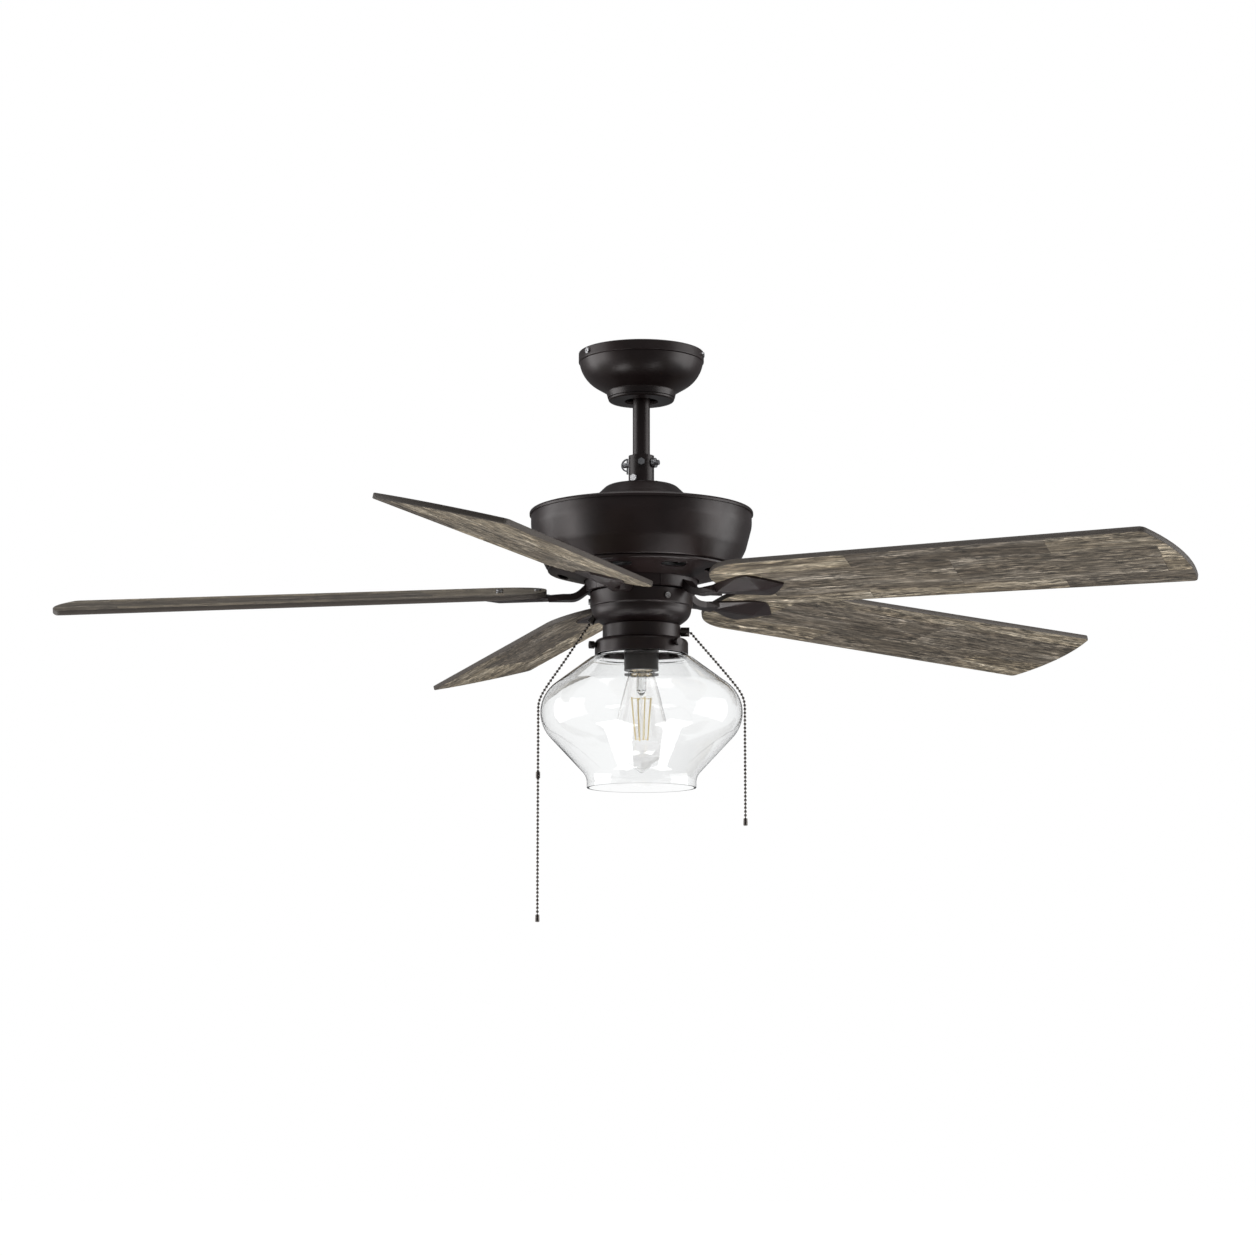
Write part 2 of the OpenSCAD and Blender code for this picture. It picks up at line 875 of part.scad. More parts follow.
module switch_plate() {
    color(dark_steel)
        difference() {
            union() {
                tube(switch_r - 2, shaft_r + seat_gap, switch_plate_low, switch_top - 2);
                for (i = [0:2])
                    rotate([0, 0, switch_screw_angle(i)])
                        translate([switch_r - 4, -6, switch_top - 13])
                            cube([2, 12, 10]);
            }
            for (i = [0:2])
                outward(switch_screw_angle(i), switch_r, switch_top - 9)
                    cylinder(r = screw_r + seat_gap, h = 20, center = true);
        }
}

module switch_housing() {
    wall = 1.3;
    color(bronze)
        difference() {
            spun_shell([
                [switch_r, switch_top, 0],
                [switch_r, switch_top - 15.5, 1.8],
                [switch_r - 1.7, switch_top - 16.8, 0.8],
                [switch_r - 1.7, switch_low + 10, 16],
                [neck_r - 1, switch_low, 2],
                [nipple_r + seat_gap, switch_low, 0]], wall);
            for (i = [0:2])
                outward(switch_screw_angle(i), switch_r, switch_top - 9)
                    cylinder(r = screw_r + seat_gap, h = 20, center = true);
            along_fan_bushing()
                cylinder(r = bushing_r - 0.7 + seat_gap, h = 30, center = true);
            translate([-reverse_slot_l / 2, switch_r - 6, reverse_z - 2])
                cube([reverse_slot_l, 10, 4]);
        }
}

module reverse_switch() {
    color("#202022")
        difference() {
            translate([-13, switch_r - 17, reverse_z - 5])
                cube([26, 11, 10]);
            translate([-reverse_slot_l / 2, switch_r - 10, reverse_z - 2])
                cube([reverse_slot_l, 10, 4]);
        }
}

module reverse_knob() {
    color("#202022") {
        translate([-reverse_slot_l / 2 + moving_gap, switch_r - 9.6, reverse_z - 1.6])
            cube([reverse_knob_w, 12.6, 3.2]);
    }
}

// Places its children on the axis of the fan chain's bushing, with +Z pointing out
module along_fan_bushing() {
    rotate([0, 0, 180])
        translate([fan_bushing_at[0], 0, switch_top + fan_bushing_at[1]])
            rotate([0, fan_bushing_tilt, 0])
                children();
}

module fan_speed_switch() {
    color("#c9c4b4")
        difference() {
            translate([-fan_switch_in_r - fan_switch_size[0], -fan_switch_size[1] / 2,
                switch_plate_low - fan_switch_size[2]])
                cube(fan_switch_size);
            along_fan_bushing()
                translate([0, 0, -bushing_inside])
                    cylinder(r = bushing_r + 1, h = 40);
        }
}

module capacitor() {
    color("#2a2a2c")
        translate([capacitor_in_r, -capacitor_size[1] / 2, switch_plate_low - capacitor_size[2]])
            cube(capacitor_size);
}

// Flanged bushings that the chains come out of
module chain_bushings() {
    color(dark_steel) {
        along_fan_bushing()
            difference() {
                union() {
                    translate([0, 0, -bushing_inside])
                        cylinder(r = bushing_r - 0.7, h = bushing_inside + 8);
                    translate([0, 0, 5.5])
                        cylinder(r = bushing_r, h = 3);
                }
                translate([0, 0, -bushing_inside - 1])
                    cylinder(r = bushing_bore_r, h = 30);
            }
        outward(0, 0, light_bushing_z)
            difference() {
                union() {
                    translate([0, 0, neck_r - 7])
                        cylinder(r = bushing_r - 0.2, h = 15);
                    translate([0, 0, neck_r + seat_gap])
                        cylinder(r = bushing_r + 1, h = 10);
                }
                translate([0, 0, neck_r - 8])
                    cylinder(r = bushing_bore_r, h = 30);
                translate([0, 0, neck_r + 6.2])
                    cylinder(r1 = bushing_bore_r, r2 = bushing_r + 0.2, h = 4.1);
            }
    }
}

// ---- Light ----

module light_neck() {
    color(bronze) {
        difference() {
            spun_shell([
                [nipple_r + 3, switch_low, 0],
                [neck_r, switch_low, 2],
                [neck_r, neck_low, 0]], wall_top_t);
            outward(0, neck_r, light_bushing_z)
                cylinder(r = bushing_r - 0.2 + seat_gap, h = 12, center = true);
        }
        tube(nipple_r, nipple_r - 2, neck_low - wall_top_t, switch_low + 8);
        tube(nipple_r + 4, nipple_r - 1, switch_low - wall_top_t, switch_low);
    }
}

module light_switch() {
    color("#c9c4b4")
        translate([neck_r - 7 - light_switch_l, -light_switch_w / 2, light_bushing_z - 7])
            cube([light_switch_l, light_switch_w, switch_low - wall_top_t - light_bushing_z + 7]);
}

module shade_fitter() {
    color(bronze)
        difference() {
            spun_shell([
                [nipple_r + seat_gap, neck_low, 0],
                [fitter_r, neck_low, fitter_corner],
                [fitter_r, fitter_low, 0]], wall_top_t);
            for (angle = thumb_angles)
                outward(angle, fitter_r, thumb_z)
                    cylinder(r = screw_r + running_gap, h = 12, center = true);
        }
}

module thumbscrew(angle) {
    color(bronze)
        outward(angle, fitter_r, thumb_z) {
            translate([0, 0, glass_neck_r + moving_gap - fitter_r])
                cylinder(r = screw_r, h = 4.5);
            translate([0, 0, moving_gap])
                cylinder(r = screw_r + 1, h = 2.5);
            translate([0, 0, 2.5])
                cylinder(r = thumb_head_r, h = 5.5, $fn = 40);
        }
}

module lamp_socket() {
    socket_low_z = fitter_low - 19;
    color("#1f1c1b")
        difference() {
            translate([0, 0, socket_low_z])
                cylinder(r = socket_body_r, h = neck_low - wall_top_t - socket_low_z);
            translate([0, 0, socket_low_z - 1])
                cylinder(r = base_r + 0.4, h = 28);
        }
}

module bulb_base() {
    color(brass)
        translate([0, 0, bulb_top]) {
            cylinder(r = base_r, h = 22);
            translate([0, 0, 22 - eps])
                cylinder(r1 = base_r, r2 = 5, h = 3);
        }
}

module bulb_glass() {
    color([1, 0.95, 0.85, 0.3])
        spun_shell([
            [bulb_neck_r - 2.5, bulb_top - seat_gap, 0],
            [bulb_neck_r - 0.4, bulb_top - 2, 1.5],
            [bulb_r + 3.5, bulb_top - bulb_h + 22, bulb_r * 0.74],
            [8.6, bulb_top - bulb_h + 6.5, 5],
            [1.2, bulb_top - bulb_h, 0]], 1);
}

// The glass stem: a tube from the bulb's neck that closes to a rod between the filaments
module bulb_stem() {
    color(clear)
        translate([0, 0, bulb_top])
            rotate_extrude()
                polygon(rounded([[4.6, -0.4, 0], [5.8, -0.4, 0], [5.6, -stem_tube_l + 3, 6],
                    [stem_rod_r, -stem_tube_l - 1, 2], [stem_rod_r, -stem_l, 0], [0, -stem_l, 0],
                    [0, -stem_tube_l + 2, 0], [4.4, -stem_tube_l + 5, 3]]));
}

// Four long filament sticks, wide apart at the top, with the wires that join their ends to the stem
module bulb_filaments() {
    lean = atan((filament_top_r - filament_low_r) / filament_l);
    color("#f3dd94")
        for (i = [0:3])
            rotate([0, 0, filament_start + 90 * i]) {
                translate([filament_top_r, 0, bulb_top - filament_drop])
                    rotate([0, 180 + lean, 0])
                        cylinder(r = 0.9, h = filament_l / cos(lean));
                for (end = [[filament_top_r, 1], [filament_low_r, filament_l - 1]])
                    translate([stem_rod_r + running_gap, 0, bulb_top - filament_drop - end[1]])
                        rotate([0, 90, 0])
                            cylinder(r = 0.4, h = end[0] - stem_rod_r - running_gap);
            }
}

// Corner points of the glass, worked out from the shade's own sizes
module glass_shade() {
    top_slope = 0.75;
    low_slope = 1.07;
    hip_z = fitter_low - (shade_r * 1.177 - glass_neck_r - 5) * top_slope;
    lip_z = hip_z - (shade_r * 1.177 - shade_mouth_r) * low_slope;
    color(clear)
        spun_shell([
            [glass_neck_r, neck_low - wall_top_t - 1, 0],
            [glass_neck_r, fitter_low - 2, 3],
            [glass_neck_r + 5 + 4, fitter_low - 4 * top_slope - 0.6, 6],
            [shade_r * 1.177, hip_z, shade_r * 0.357],
            [shade_mouth_r, lip_z, 18],
            [shade_mouth_r, shade_low, 0]], shade_wall);
}

// ---- Pull chains ----

function cross_section(at, along, r) =
    let (side = unit([along[1], -along[0]]))
    [for (k = [0:chain_sides - 1])
        let (a = 360 * (k + 0.5) / chain_sides)
        [at[0] + side[0] * r * cos(a), r * sin(a), at[1] + side[1] * r * cos(a)]];

// The route with points added along each stretch, at most gap apart
function stations(route, gap) =
    concat(
        [for (i = [0:len(route) - 2])
            let (steps = ceil(norm(route[i + 1] - route[i]) / gap))
            each [for (k = [0:steps - 1]) route[i] + (route[i + 1] - route[i]) * k / steps]],
        [route[len(route) - 1]]);

module chain_tube(route) {
    at = stations(route, chain_ring_gap);
    last = len(at) - 1;
    rings = [for (i = [0:last]) cross_section(at[i], at[min(i + 1, last)] - at[max(i - 1, 0)], chain_r)];
    n = chain_sides;
    sides = [for (i = [0:last - 1], k = [0:n - 1])
        [i * n + k, i * n + (k + 1) % n, (i + 1) * n + (k + 1) % n, (i + 1) * n + k]];
    ends = [[for (k = [n - 1:-1:0]) k], [for (k = [0:n - 1]) last * n + k]];
    translate([0, 0, switch_top])
        polyhedron(points = [for (ring = rings) each ring], faces = concat(sides, ends));
}

module fan_chain_upper() {
    color(dark_steel)
        rotate([0, 0, 180])
            chain_tube(fan_chain_upper_route);
}

module fan_chain_lower() {
    color(dark_steel)
        rotate([0, 0, 180])
            chain_tube(fan_chain_lower_route);
}

module light_chain_upper() {
    color(dark_steel)
        chain_tube(light_chain_upper_route);
}

module light_chain_lower() {
    color(dark_steel)
        chain_tube(light_chain_lower_route);
}

// The bell on a chain's end, round the chain's last few millimetres
module chain_bell(route) {
    end = route[len(route) - 1];
    translate([end[0], 0, switch_top + end[1]])
        difference() {
            rotate_extrude()
                polygon(rounded([[0, 5, 0], [chain_r + 0.6, 5, 0.3], [pull_r, 0, 2],
                    [pull_r, 5 - pull_l, 1.2], [0, 5 - pull_l, 0]]));
            cylinder(r = chain_r + 0.1, h = 10);
        }
}

module fan_chain_pull() {
    color(dark_steel)
        rotate([0, 0, 180]) {
            chain_bell(fan_chain_lower_route);
            translate([fan_chain_lower_route[0][0], 0, switch_top + coupler_z])
                tube(chain_r + 0.8, chain_r + 0.1, -coupler_half, coupler_half);
        }
}

module light_chain_pull() {
    color(dark_steel)
        chain_bell(light_chain_lower_route);
}

hanger_plate();
hanger_socket();
canopy();
canopy_band();
canopy_cover();
canopy_screws();
hanger_ball();
ball_cross_pin();
downrod();
motor_yoke();
clevis_pin();
cotter_clip();
set_screws();
motor_shaft();
stator_core();
stator_windings();
motor_bearings();
top_cover();
motor_housing();
lower_cover();
cover_screws();
switch_plate();
switch_housing();
fan_speed_switch();
capacitor();
reverse_switch();
reverse_knob();
chain_bushings();
light_neck();
light_switch();
shade_fitter();
lamp_socket();
bulb_base();
bulb_glass();
bulb_stem();
bulb_filaments();
glass_shade();
rotor_case();
rotor_ring();
flywheel();
blade_iron(0);  // blade_iron_1
blade_iron(1);  // blade_iron_2
blade_iron(2);  // blade_iron_3
blade_iron(3);  // blade_iron_4
blade_iron(4);  // blade_iron_5
blade(0);  // blade_1
blade(1);  // blade_2
blade(2);  // blade_3
blade(3);  // blade_4
blade(4);  // blade_5
rotor_screws();
thumbscrew(thumb_angles[0]);  // thumbscrew_1
thumbscrew(thumb_angles[1]);  // thumbscrew_2
thumbscrew(thumb_angles[2]);  // thumbscrew_3
fan_chain_upper();
fan_chain_lower();
fan_chain_pull();
light_chain_upper();
light_chain_lower();
light_chain_pull();
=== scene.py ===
"""Five-blade ceiling fan with a clear glass light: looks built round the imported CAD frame."""

import json
import math

import bpy
import numpy as np
from mathutils import Matrix, Vector


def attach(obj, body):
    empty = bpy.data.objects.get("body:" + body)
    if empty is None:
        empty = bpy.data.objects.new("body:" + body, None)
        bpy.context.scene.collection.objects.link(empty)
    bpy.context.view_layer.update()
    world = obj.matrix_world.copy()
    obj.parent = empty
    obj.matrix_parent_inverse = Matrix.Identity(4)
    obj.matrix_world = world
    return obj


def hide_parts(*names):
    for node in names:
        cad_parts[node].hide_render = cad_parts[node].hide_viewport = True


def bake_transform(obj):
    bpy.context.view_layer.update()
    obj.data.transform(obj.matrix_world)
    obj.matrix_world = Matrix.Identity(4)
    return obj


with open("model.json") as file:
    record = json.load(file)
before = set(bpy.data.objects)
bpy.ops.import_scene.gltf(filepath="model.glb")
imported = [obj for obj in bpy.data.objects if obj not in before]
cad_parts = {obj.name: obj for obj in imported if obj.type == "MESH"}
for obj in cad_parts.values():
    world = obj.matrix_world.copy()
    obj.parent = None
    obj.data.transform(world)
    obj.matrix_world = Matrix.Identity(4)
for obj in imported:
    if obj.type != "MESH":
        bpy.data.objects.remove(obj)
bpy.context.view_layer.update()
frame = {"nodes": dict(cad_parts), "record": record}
NODES = frame["nodes"]
MM = 0.001

# Sizes that the CAD source also holds, in millimetres and degrees
SWITCH_TOP = -278
BEAD_R = 1.6
BEAD_PITCH = 4.2
BLADES = 5
BLADE_SPAN = 1320
BLADE_ROOT_R = 107
BLADE_ROOT_W = 121
BLADE_ROOT_ROUND = 62
BLADE_ROOT_FLAT = 12
BLADE_TIP_W = 138
BLADE_TIP_ROUND = 7
BLADE_T = 5.5
BLADE_EASE = 0.7
BLADE_BULGE = 13
BLADE_PITCH = 13.5
BLADE_DROOP = 2
BLADE_START = 37.5
BLADE_PLANE_Z = -273.1

# Outsides of the turned shells, from the top down: each corner is (radius, height, rounding)
SHADE_OUTLINE = [(48.6, -333.1, 0), (48.6, -349.5, 3), (57.6, -351.1, 6), (133.59, -407.49, 40.52),
                 (61.3, -484.84, 18), (61.3, -497.5, 0)]
BULB_OUTLINE = [(13.1, -367.0, 0), (15.2, -368.8, 1.5), (36.0, -457.8, 24.05), (8.6, -473.3, 5),
                (1.2, -479.8, 0)]
CANOPY_OUTLINE = [(67.4, -12, 0), (70.4, -12, 0), (67.4, -29.12, 37.77), (39.88, -45.7, 3),
                  (38.18, -52.3, 0)]
HOUSING_OUTLINE = [(120.1, -186.6, 0), (125.1, -186.6, 2.2), (125.1, -202, 30), (118.3, -228, 30),
                   (107.5, -249, 2), (101.8, -249, 0)]

# Pull chains, as (radius, height from the switch housing's top), and where each one hangs free
FAN_CHAIN = [(57, -32), (84, -72.5), (111.5, -113.5), (115.5, -124), (116, -130), (116, -136), (116, -366)]
LIGHT_CHAIN = [(48, -43.5), (53.5, -43.5), (56.5, -45.5), (60, -49.8), (111.3, -112.3), (115.2, -122),
               (116, -129), (116, -136), (116, -259)]

# Printed planks on a blade, in millimetres
STRIP_W = 66
PLANK_L = 235
PLANK_STAGGER = 117


# ---- Camera, light and floor ----

def make_camera():
    """Low in front of the fan and tilted up at it."""
    cam = bpy.data.objects.new("camera", bpy.data.cameras.new("camera"))
    bpy.context.scene.collection.objects.link(cam)
    cam.location = (0.0137, -3.2888, -0.7975)
    cam.rotation_euler = (math.radians(98.315), 0, math.radians(0.503))
    cam.data.lens = 84.49
    cam.data.sensor_width = 36
    cam.data.clip_end = 100
    bpy.context.scene.camera = cam


def softbox(name, at, look_at, size, power):
    data = bpy.data.lights.new(name, "AREA")
    data.shape = "RECTANGLE"
    data.size, data.size_y = size
    data.energy = power
    lamp = bpy.data.objects.new(name, data)
    bpy.context.scene.collection.objects.link(lamp)
    lamp.location = at
    lamp.rotation_euler = (Vector(look_at) - Vector(at)).to_track_quat("-Z", "Y").to_euler()
    lamp.visible_camera = False
    lamp.visible_transmission = False


def make_light():
    """Wide boxes at both sides, one above, and two dim ones under the fan."""
    softbox("left box", (-3.2, 0.1, -0.5), (0, 0, -0.25), (3.0, 2.6), 80)
    softbox("right box", (3.2, -0.1, -0.5), (0, 0, -0.25), (3.0, 2.6), 74)
    softbox("top box", (0, -0.6, 1.9), (0, 0, -0.2), (2.6, 2.0), 40)
    softbox("low left box", (-0.9, -0.7, -2.6), (0, 0, -0.3), (1.2, 1.2), 32)
    softbox("low right box", (1.2, -0.7, -2.6), (0, 0, -0.3), (1.2, 1.2), 32)


def make_world():
    """White behind the fan and through its glass, and a dimmer room in reflections."""
    world = bpy.data.worlds.new("studio")
    world.use_nodes = True
    bpy.context.scene.world = world
    nodes, links = world.node_tree.nodes, world.node_tree.links
    nodes.clear()
    rays = nodes.new("ShaderNodeLightPath")
    seen = nodes.new("ShaderNodeMath")
    seen.operation = "MAXIMUM"
    links.new(rays.outputs["Is Camera Ray"], seen.inputs[0])
    links.new(rays.outputs["Is Transmission Ray"], seen.inputs[1])
    room, white = nodes.new("ShaderNodeBackground"), nodes.new("ShaderNodeBackground")
    room.inputs["Color"].default_value = (0.95, 0.97, 1.0, 1)
    room.inputs["Strength"].default_value = 0.16
    white.inputs["Color"].default_value = (1, 1, 1, 1)
    white.inputs["Strength"].default_value = 1.0
    mix = nodes.new("ShaderNodeMixShader")
    links.new(seen.outputs[0], mix.inputs["Fac"])
    links.new(room.outputs[0], mix.inputs[1])
    links.new(white.outputs[0], mix.inputs[2])
    out = nodes.new("ShaderNodeOutputWorld")
    links.new(mix.outputs[0], out.inputs["Surface"])
    bpy.context.scene.view_settings.view_transform = "Standard"


def make_floor():
    """A pale floor far enough down for views from below; it lights itself and not the fan."""
    half = 150
    mesh = bpy.data.meshes.new("floor")
    corners = [(-half, -half, 0), (half, -half, 0), (half, half, 0), (-half, half, 0)]
    mesh.from_pydata(corners, [], [(0, 1, 2, 3)])
    floor = bpy.data.objects.new("floor", mesh)
    bpy.context.scene.collection.objects.link(floor)
    floor.location.z = -5.6
    floor.visible_diffuse = False
    floor.visible_glossy = False
    pale = bpy.data.materials.new("pale floor")
    pale.use_nodes = True
    shader = pale.node_tree.nodes["Principled BSDF"]
    shader.inputs["Base Color"].default_value = (0.86, 0.86, 0.85, 1)
    shader.inputs["Roughness"].default_value = 0.8
    shader.inputs["Emission Color"].default_value = (1, 1, 1, 1)
    shader.inputs["Emission Strength"].default_value = 0.9
    mesh.materials.append(pale)


# ---- Mesh building ----

def add_mesh(name, verts, faces, body, slot):
    """A smooth object in a slot's material, with its vertices in millimetres; body is what it rides on."""
    mesh = bpy.data.meshes.new(name)
    mesh.from_pydata([tuple(c * MM for c in v) for v in verts], [], faces)
    mesh.polygons.foreach_set("use_smooth", [True] * len(mesh.polygons))
    mesh.update()
    obj = bpy.data.objects.new(name, mesh)
    bpy.context.scene.collection.objects.link(obj)
    mesh.materials.append(MATERIALS[slot])
    if body:
        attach(obj, body)
    return obj


class Shape:
    """Vertices and faces gathered for one mesh, in millimetres."""

    def __init__(self):
        self.verts, self.faces = [], []

    def sphere(self, at, r, along, stretch, rings=7, sides=12):
        """A ball whose poles lie along a direction."""
        turn = Vector((0, 0, 1)).rotation_difference(Vector(along)).to_matrix()
        start = len(self.verts)
        for i in range(rings + 1):
            a = math.pi * i / rings
            n = 1 if i in (0, rings) else sides
            for k in range(n):
                b = 2 * math.pi * k / sides
                p = turn @ Vector((r * math.sin(a) * math.cos(b), r * math.sin(a) * math.sin(b),
                                   r * stretch * math.cos(a)))
                self.verts.append(tuple(Vector(at) + p))

        def ring(i, k):
            if i == 0:
                return start
            return start + 1 + (i - 1) * sides + (k % sides if i < rings else 0)

        for i in range(rings):
            for k in range(sides):
                if i == 0:
                    self.faces.append((ring(0, 0), ring(1, k), ring(1, k + 1)))
                elif i == rings - 1:
                    self.faces.append((ring(i, k), ring(rings, 0), ring(i, k + 1)))
                else:
                    self.faces.append((ring(i, k), ring(i + 1, k), ring(i + 1, k + 1), ring(i, k + 1)))

    def rod(self, points, radius, sides):
        """A round rod through the points."""
        points = [Vector(p) for p in points]
        start = len(self.verts)
        side = None
        for i, p in enumerate(points):
            along = (points[min(i + 1, len(points) - 1)] - points[max(i - 1, 0)]).normalized()
            if side is None:
                side = along.orthogonal().normalized()
            side = (side - along * side.dot(along)).normalized()
            other = along.cross(side)
            for k in range(sides):
                a = 2 * math.pi * k / sides
                self.verts.append(tuple(p + (side * math.cos(a) + other * math.sin(a)) * radius))
        for i in range(len(points) - 1):
            for k in range(sides):
                a, b = start + i * sides + k, start + i * sides + (k + 1) % sides
                self.faces.append((a, b, b + sides, a + sides))
        self.faces.append(tuple(start + k for k in reversed(range(sides))))
        self.faces.append(tuple(start + (len(points) - 1) * sides + k for k in range(sides)))


def arc_corner(a, b, c, radius, step=3.0):
    """Points of a round corner at b, on the way from a to c, one for each few degrees."""
    a, b, c = (np.array(q, float) for q in (a, b, c))
    u, v = (a - b) / np.linalg.norm(a - b), (c - b) / np.linalg.norm(c - b)
    half = math.acos(float(u @ v)) / 2
    centre = b + (u + v) / np.linalg.norm(u + v) * radius / math.sin(half)
    start = b + u * radius / math.tan(half) - centre
    stop = b + v * radius / math.tan(half) - centre
    turn = math.pi - 2 * half
    steps = max(2, math.ceil(math.degrees(turn) / step))
    shares = [i / steps for i in range(steps + 1)]
    return [centre + (start * math.sin(turn * (1 - t)) + stop * math.sin(turn * t)) / math.sin(turn)
            for t in shares]


def round_path(path):
    """An outline through corners [x, y, radius]."""
    out = [np.array(path[0][:2], float)]
    for a, b, c in zip(path, path[1:], path[2:]):
        out += arc_corner(a[:2], b[:2], c[:2], b[2]) if b[2] else [np.array(b[:2], float)]
    return out + [np.array(path[-1][:2], float)]


def right_of(a, b):
    """The direction square to the way from a to b, on its right."""
    return np.array([b[1] - a[1], a[0] - b[0]]) / np.linalg.norm(b - a)


def spun_shell(name, node, body, slot, path, wall, sides=144):
    """A turned shell that stands in for a CAD node: its outside runs through path, from the top down."""
    outside = round_path(path)
    last = len(outside) - 1
    inside = []
    for i, p in enumerate(outside):
        before = right_of(outside[max(i - 1, 0)], outside[max(i, 1)])
        after = right_of(outside[min(i, last - 1)], outside[min(i + 1, last)])
        inside.append(p + wall * (before + after) / (1 + float(before @ after)))
    loop = outside + inside[::-1]
    n = len(loop)
    angles = np.linspace(0, 2 * math.pi, sides, endpoint=False)
    verts = [(r * math.cos(a), r * math.sin(a), z) for a in angles for r, z in loop]
    faces = [(k * n + i, k * n + (i + 1) % n, (k + 1) % sides * n + (i + 1) % n, (k + 1) % sides * n + i)
             for k in range(sides) for i in range(n)]
    shell = add_mesh(name, verts, faces, body, slot)
    shell.data.set_sharp_from_angle(angle=math.radians(35))
    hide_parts(node)


# ---- Materials ----

def new_material(name):
    material = bpy.data.materials.new(name)
    material.use_nodes = True
    tree = material.node_tree
    return material, tree.nodes, tree.links, tree.nodes["Principled BSDF"]


def position(nodes, links, scale=(1, 1, 1), uv=None):
    """Object coordinates, or a named UV map, scaled."""
    if uv:
        source = nodes.new("ShaderNodeUVMap")
        source.uv_map = uv
        vector = source.outputs["UV"]
    else:
        vector = nodes.new("ShaderNodeTexCoord").outputs["Object"]
    mapping = nodes.new("ShaderNodeMapping")
    mapping.inputs["Scale"].default_value = scale
    links.new(vector, mapping.inputs["Vector"])
    return mapping.outputs["Vector"]


def noise(nodes, links, vector, scale, detail=4, roughness=0.5, distortion=0.0):
    node = nodes.new("ShaderNodeTexNoise")
    node.inputs["Scale"].default_value = scale
    node.inputs["Detail"].default_value = detail
    node.inputs["Roughness"].default_value = roughness
    node.inputs["Distortion"].default_value = distortion
    links.new(vector, node.inputs["Vector"])
    return node.outputs["Fac"]


def ramp(nodes, links, value, stops):
    """Colours blended along a value, from stops (value, colour)."""
    node = nodes.new("ShaderNodeValToRGB")
    elements = node.color_ramp.elements
    while len(elements) < len(stops):
        elements.new(0.5)
    for element, (at, colour) in zip(elements, stops):
        element.position = at
        element.color = (*colour, 1)
    links.new(value, node.inputs["Fac"])
    return node.outputs["Color"]


def grey(v):
    return (v, v, v)


def mix(nodes, links, a, b, factor, mode="MIX"):
    """Colour b laid over the colour socket a; b and factor may be sockets or values."""
    node = nodes.new("ShaderNodeMix")
    node.data_type = "RGBA"
    node.blend_type = mode
    under, over = [socket for socket in node.inputs if socket.type == "RGBA"]
    share = [socket for socket in node.inputs if socket.type == "VALUE"][0]
    links.new(a, under)
    if hasattr(b, "links"):
        links.new(b, over)
    else:
        over.default_value = (*b, 1)
    if hasattr(factor, "links"):
        links.new(factor, share)
    else:
        share.default_value = factor
    return [socket for socket in node.outputs if socket.type == "RGBA"][0]


def math_node(nodes, links, operation, a, b=0.0):
    node = nodes.new("ShaderNodeMath")
    node.operation = operation
    for i, value in enumerate((a, b)):
        if hasattr(value, "links"):
            links.new(value, node.inputs[i])
        else:
            node.inputs[i].default_value = value
    return node.outputs[0]


def bump(nodes, links, height, strength, distance, shader):
    node = nodes.new("ShaderNodeBump")
    node.inputs["Strength"].default_value = strength
    node.inputs["Distance"].default_value = distance
    links.new(height, node.inputs["Height"])
    links.new(node.outputs["Normal"], shader.inputs["Normal"])


def painted_bronze(name):
    """Satin oil-rubbed finish: near black, a little brown, with fine orange peel."""
    material, nodes, links, shader = new_material(name)
    where = position(nodes, links)
    cloud = noise(nodes, links, where, 18, 3)
    tones = [(0.3, (0.0125, 0.0066, 0.0062)), (0.75, (0.0230, 0.0125, 0.0118))]
    links.new(ramp(nodes, links, cloud, tones), shader.inputs["Base Color"])
    wear = noise(nodes, links, where, 60, 4)
    links.new(ramp(nodes, links, wear, [(0.3, grey(0.33)), (0.7, grey(0.42))]), shader.inputs["Roughness"])
    shader.inputs["Metallic"].default_value = 0.25
    shader.inputs["Specular IOR Level"].default_value = 0.6
    bump(nodes, links, noise(nodes, links, where, 900, 2), 0.10, 0.0003, shader)
    return material


def bare_metal(name, colour, rough, metallic=1.0, streak=(1, 1, 1)):
    """Metal whose tone and gloss vary a little from place to place."""
    wear = 0.12
    material, nodes, links, shader = new_material(name)
    where = position(nodes, links, streak)
    cloud = noise(nodes, links, where, 120, 5, 0.6)
    low = tuple(c * (1 - wear) for c in colour)
    high = tuple(min(c * (1 + wear), 1) for c in colour)
    links.new(ramp(nodes, links, cloud, [(0.3, low), (0.7, high)]), shader.inputs["Base Color"])
    links.new(ramp(nodes, links, cloud, [(0.3, grey(rough * 0.8)), (0.7, grey(min(rough * 1.2, 1)))]),
              shader.inputs["Roughness"])
    shader.inputs["Metallic"].default_value = metallic
    bump(nodes, links, noise(nodes, links, where, 700, 3), 0.15, 0.0002, shader)
    return material


def plastic(name, colour, rough):
    """Moulded plastic with a faint grain."""
    material, nodes, links, shader = new_material(name)
    where = position(nodes, links)
    cloud = noise(nodes, links, where, 45, 4)
    links.new(ramp(nodes, links, cloud, [(0.3, tuple(c * 0.88 for c in colour)), (0.7, colour)]),
              shader.inputs["Base Color"])
    links.new(ramp(nodes, links, cloud, [(0.2, grey(rough * 0.85)), (0.8, grey(min(1, rough * 1.1)))]),
              shader.inputs["Roughness"])
    bump(nodes, links, noise(nodes, links, where, 600, 2), 0.12, 0.0002, shader)
    return material


def clear_glass(name, tint, ior):
    material, _, _, shader = new_material(name)
    shader.inputs["Base Color"].default_value = (*tint, 1)
    shader.inputs["Roughness"].default_value = 0.0
    shader.inputs["Transmission Weight"].default_value = 1.0
    shader.inputs["IOR"].default_value = ior
    return material


